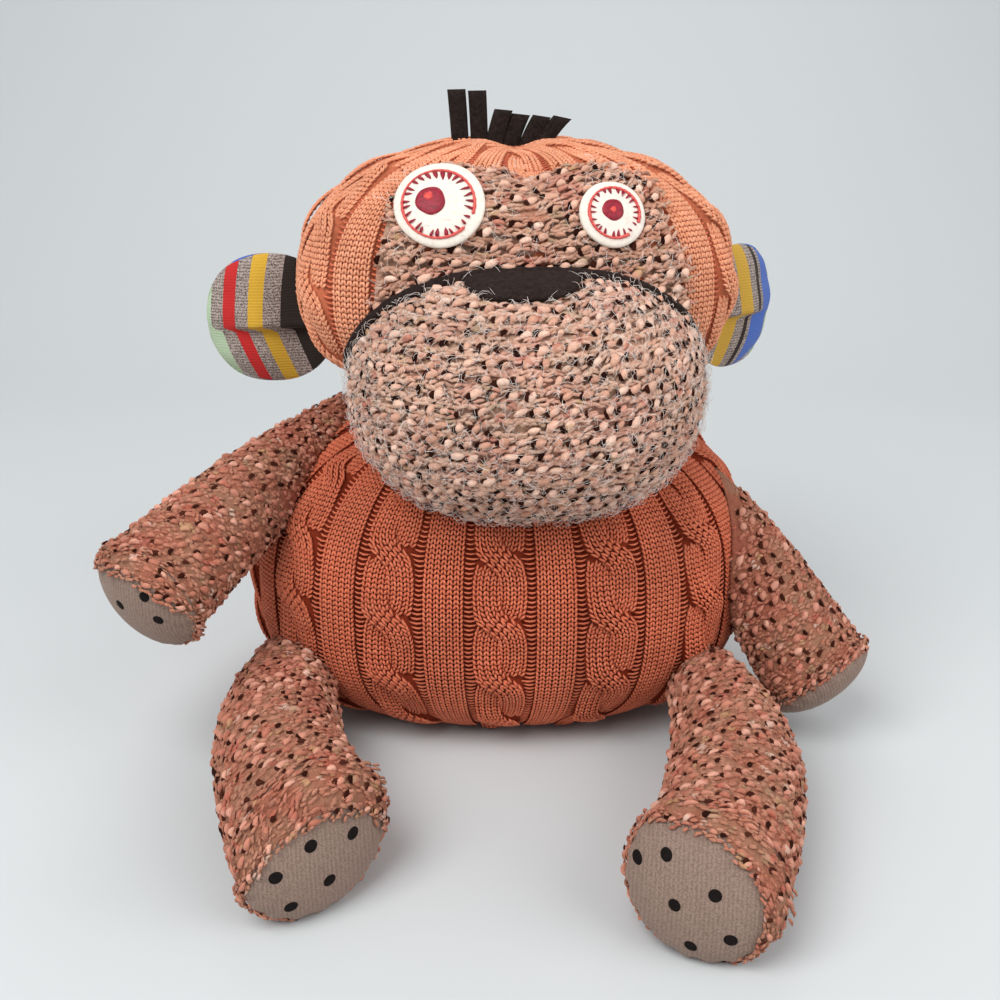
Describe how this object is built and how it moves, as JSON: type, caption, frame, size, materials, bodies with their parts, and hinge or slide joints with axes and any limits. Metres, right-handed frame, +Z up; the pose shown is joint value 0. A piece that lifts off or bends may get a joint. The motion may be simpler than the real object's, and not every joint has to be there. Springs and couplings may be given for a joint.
{
  "type": "plush monkey",
  "caption": "Sitting stuffed monkey with knitted covers, a bulging tweed muzzle, felt eyes, nose and hair, jersey ears and spotted pads on tapered limbs that swing at their seams.",
  "frame": {"origin": "on the flat seat that the body sits on, under the middle of the body", "axes": "+Z up, +X to the monkey's left, the face and the feet point along -Y"},
  "size_m": [0.3054, 0.2879, 0.2592],
  "materials": {
    "orange_cable_knit": "salmon-orange cable-knit wool",
    "tweed_knit": "chunky pink-beige slub tweed knit",
    "spotted_jersey": "taupe jersey with small dark spots",
    "striped_jersey": "grey-brown jersey with coloured stripes",
    "charcoal_felt": "charcoal felt",
    "white_felt": "white felt with red stitching",
    "black_felt": "brown-black felt",
    "fibre_stuffing": "white polyester fibre",
    "pellet_cotton": "cotton bag of pellets"
  },
  "bodies": {
    "torso": {"body_front_panel": "orange_cable_knit", "body_back_panel": "orange_cable_knit", "body_stuffing": "fibre_stuffing", "pellet_pouch": "pellet_cotton"},
    "head": {"head_cover": "orange_cable_knit", "brow_panel": "tweed_knit", "head_stuffing": "fibre_stuffing", "muzzle_cover": "tweed_knit", "muzzle_stuffing": "fibre_stuffing", "nose_felt": "charcoal_felt", "right_eye": "white_felt", "left_eye": "white_felt", "hair_fringe": "black_felt"},
    "right_ear": {"right_ear_front": "striped_jersey", "right_ear_back": "striped_jersey", "right_ear_wadding": "fibre_stuffing"},
    "left_ear": {"left_ear_front": "striped_jersey", "left_ear_back": "striped_jersey", "left_ear_wadding": "fibre_stuffing"},
    "right_arm": {"right_arm_cover": "tweed_knit", "right_palm_pad": "spotted_jersey", "right_arm_stuffing": "fibre_stuffing"},
    "left_arm": {"left_arm_cover": "tweed_knit", "left_palm_pad": "spotted_jersey", "left_arm_stuffing": "fibre_stuffing"},
    "right_leg": {"right_leg_cover": "tweed_knit", "right_sole_pad": "spotted_jersey", "right_leg_stuffing": "fibre_stuffing"},
    "left_leg": {"left_leg_cover": "tweed_knit", "left_sole_pad": "spotted_jersey", "left_leg_stuffing": "fibre_stuffing"}
  },
  "joints": [
    {"name": "head_nod", "type": "hinge", "parent": "torso", "child": "head", "pos_m": [0.006, 0.004, 0.133], "axis": [0.9962, 0.0872, 0], "range_deg": [-14, 0]},
    {"name": "right_ear_fold", "type": "hinge", "parent": "head", "child": "right_ear", "pos_m": [-0.0847, -0.0039, 0.168], "axis": [0, 0, 1], "range_deg": [-16, 25], "stiffness_Nm_per_rad": 0.01},
    {"name": "left_ear_fold", "type": "hinge", "parent": "head", "child": "left_ear", "pos_m": [0.096, 0.0119, 0.168], "axis": [0, 0, 1], "range_deg": [-14, 0], "stiffness_Nm_per_rad": 0.01},
    {"name": "right_arm_lift", "type": "hinge", "parent": "torso", "child": "right_arm", "pos_m": [-0.063, 0.008, 0.1275], "axis": [-0.8251, 0.565, 0], "range_deg": [0, 35]},
    {"name": "left_arm_lift", "type": "hinge", "parent": "torso", "child": "left_arm", "pos_m": [0.0555, 0.003, 0.1145], "axis": [-0.6102, -0.7923, 0], "range_deg": [0, 26]},
    {"name": "right_leg_dangle", "type": "hinge", "parent": "torso", "child": "right_leg", "pos_m": [-0.08, -0.016, 0.01], "axis": [1, 0, 0], "range_deg": [0, 70]},
    {"name": "left_leg_dangle", "type": "hinge", "parent": "torso", "child": "left_leg", "pos_m": [0.08, -0.038, 0.0115], "axis": [1, 0, 0], "range_deg": [0, 70]}
  ]
}
